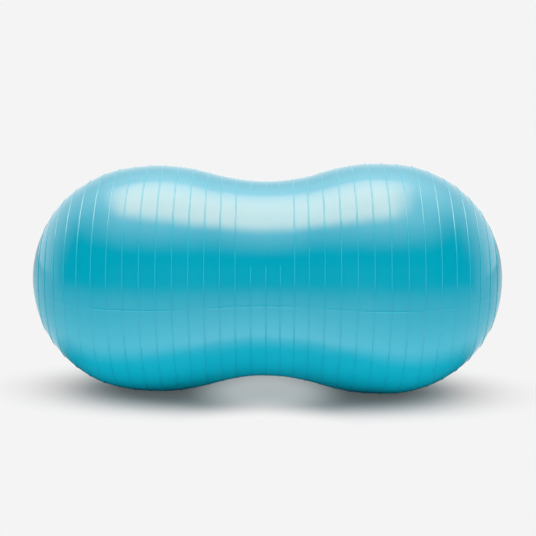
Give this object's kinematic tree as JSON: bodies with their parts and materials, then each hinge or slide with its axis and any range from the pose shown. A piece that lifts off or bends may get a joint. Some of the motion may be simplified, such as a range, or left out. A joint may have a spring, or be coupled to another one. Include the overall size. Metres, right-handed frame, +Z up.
{
  "type": "peanut ball",
  "caption": "Inflated two-lobed exercise ball with grip ribs round it, a smooth panel at its waist and a push-in valve plug.",
  "frame": {"origin": "on the floor at the bottom centre of the bounding box, which is 3 mm towards +X from under the middle of the waist", "axes": "+X along the ball's length towards its wider lobe, +Y towards the side with the valve, away from the smooth panel, +Z up. The ball's own axis rises 0.63 degrees towards +X, because it rests on both lobes"},
  "size_m": [0.9228, 0.457, 0.4544],
  "materials": {
    "skin": "soft turquoise vinyl with a satin gloss",
    "valve_seat": "soft turquoise vinyl, matt as moulded",
    "valve_plug": "off-white moulded plastic, satin"
  },
  "bodies": {
    "ball": {"ball_shell": "skin", "valve_seat": "valve_seat"},
    "plug": {"valve_plug": "valve_plug"}
  },
  "joints": [
    {"name": "plug_pull", "type": "slide", "parent": "ball", "child": "plug", "axis": [-0.0065, 0.809, 0.5877], "range_m": [0, 0.04]}
  ]
}
